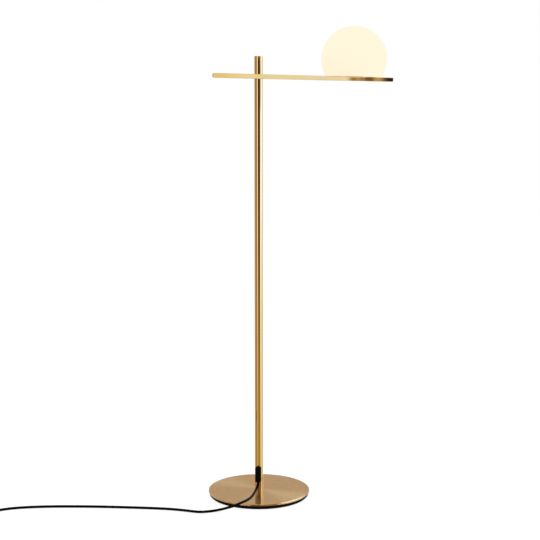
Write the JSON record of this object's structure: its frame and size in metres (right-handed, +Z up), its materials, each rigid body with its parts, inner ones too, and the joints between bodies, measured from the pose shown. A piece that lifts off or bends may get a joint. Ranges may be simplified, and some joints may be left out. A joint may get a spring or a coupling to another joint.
{
  "type": "floor lamp",
  "caption": "Floor lamp with a round weighted foot, a slim pole, a flat horizontal arm fixed across it and an opal glass globe standing near the arm's end.",
  "frame": {"origin": "on the floor, under the pole's axis, at the middle of the foot", "axes": "+Z up along the pole, +X along the arm towards the globe, -Y the front, where the arm passes the pole"},
  "size_m": [1.4398, 0.356, 1.388],
  "materials": {
    "polished_brass": "polished and lacquered",
    "brushed_brass": "satin, brushed in circles",
    "turned_brass": "as turned",
    "black_iron": "painted black",
    "zinc_steel": "zinc plated",
    "spring_steel": "bright",
    "nickel_plate": "nickel plated",
    "opal_glass": "satin opal, lit",
    "bulb_diffuser": "opal, lit",
    "lamp_holder_plastic": "moulded",
    "black_plastic": "fine moulded texture",
    "black_pvc": "smooth cord jacket",
    "inner_lead": "clear sheathed lead",
    "white_lacquer": "satin white, sprayed",
    "silicone": "translucent",
    "black_pad": "foam"
  },
  "bodies": {
    "stand": {"base_cover": "brushed_brass", "base_weight": "black_iron", "base_pad": "black_pad", "base_bolt": "zinc_steel", "base_washer": "zinc_steel", "pole_foot_plug": "zinc_steel", "pole_tube": "polished_brass", "swivel_bush": "turned_brass", "swivel_washer": "polished_brass", "cord_outlet": "black_plastic", "outlet_nut": "black_plastic", "pole_lead": "inner_lead", "cord_free": "black_pvc", "cord_coil": "black_pvc", "coil_tie": "black_plastic", "switch_base": "black_plastic", "switch_cover": "black_plastic", "switch_module": "black_plastic", "switch_spring": "spring_steel", "switch_screws": "zinc_steel", "switch_feet": "silicone", "switch_sleeves": "black_pvc", "plug_body": "black_plastic", "plug_pins": "nickel_plate"},
    "arm": {"head_tube": "polished_brass", "head_cap": "polished_brass", "spindle": "turned_brass", "spindle_washer": "zinc_steel", "spindle_nut": "turned_brass", "stop_pin": "zinc_steel", "arm_spacer": "turned_brass", "arm_stud": "zinc_steel", "stud_nut": "zinc_steel", "arm_tube": "polished_brass", "arm_boss": "turned_brass", "arm_end_left": "polished_brass", "arm_end_right": "polished_brass", "arm_lead": "inner_lead", "globe_cup": "white_lacquer", "cup_screws": "zinc_steel", "glass_pads": "silicone", "globe_springs": "spring_steel", "lamp_holder": "lamp_holder_plastic", "bulb_cap": "nickel_plate", "bulb_dome": "bulb_diffuser"},
    "globe": {"globe": "opal_glass"},
    "button": {"switch_button": "black_plastic"}
  },
  "joints": [
    {"name": "arm_swivel", "type": "hinge", "parent": "stand", "child": "arm", "pos_m": [0, 0, 1.2115], "axis": [0, 0, 1], "range_deg": [-165, 165]},
    {"name": "globe_lift", "type": "slide", "parent": "arm", "child": "globe", "axis": [0, 0, 1], "range_m": [0, 0.12]},
    {"name": "switch_press", "type": "slide", "parent": "stand", "child": "button", "axis": [0, 0, -1], "range_m": [0, 0.0025], "stiffness_N_per_m": 400, "springref_m": -0.002, "deforming": ["switch_spring"]}
  ]
}
